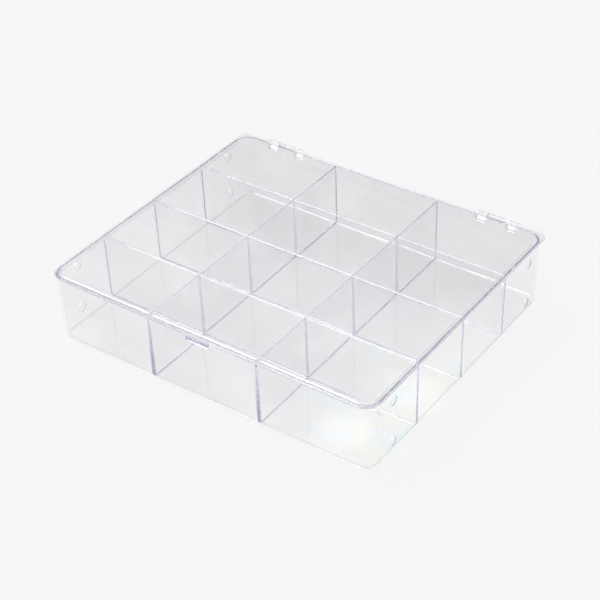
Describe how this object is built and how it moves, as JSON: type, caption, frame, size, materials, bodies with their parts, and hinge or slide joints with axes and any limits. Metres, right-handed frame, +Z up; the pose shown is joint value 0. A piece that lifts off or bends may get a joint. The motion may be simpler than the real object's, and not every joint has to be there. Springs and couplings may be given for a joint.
{
  "type": "photocard organizer box",
  "caption": "Clear flat case with compartments for photocards under one hinged lid, held shut by a snap latch at the front.",
  "frame": {"origin": "the middle of the tray's flat underside", "axes": "+X to the right seen from the latch side, +Y from the latch to the hinges, +Z up"},
  "size_m": [0.2934, 0.2561, 0.06],
  "materials": {
    "tray": "clear moulded polystyrene, polished",
    "lid": "clear moulded polystyrene, polished",
    "pin": "clear moulded polystyrene, polished"
  },
  "bodies": {
    "tray": {"tray_floor": "tray", "tray_wall": "tray", "column_divider_left": "tray", "column_divider_right": "tray", "row_divider_front": "tray", "row_divider_middle": "tray", "row_divider_rear": "tray", "hinge_pin_left": "pin", "hinge_pin_right": "pin"},
    "lid": {"lid": "lid"}
  },
  "joints": [
    {"name": "lid_hinge", "type": "hinge", "parent": "tray", "child": "lid", "pos_m": [0, 0.127, 0.057], "axis": [-1, 0, 0], "range_deg": [0, 180]}
  ]
}
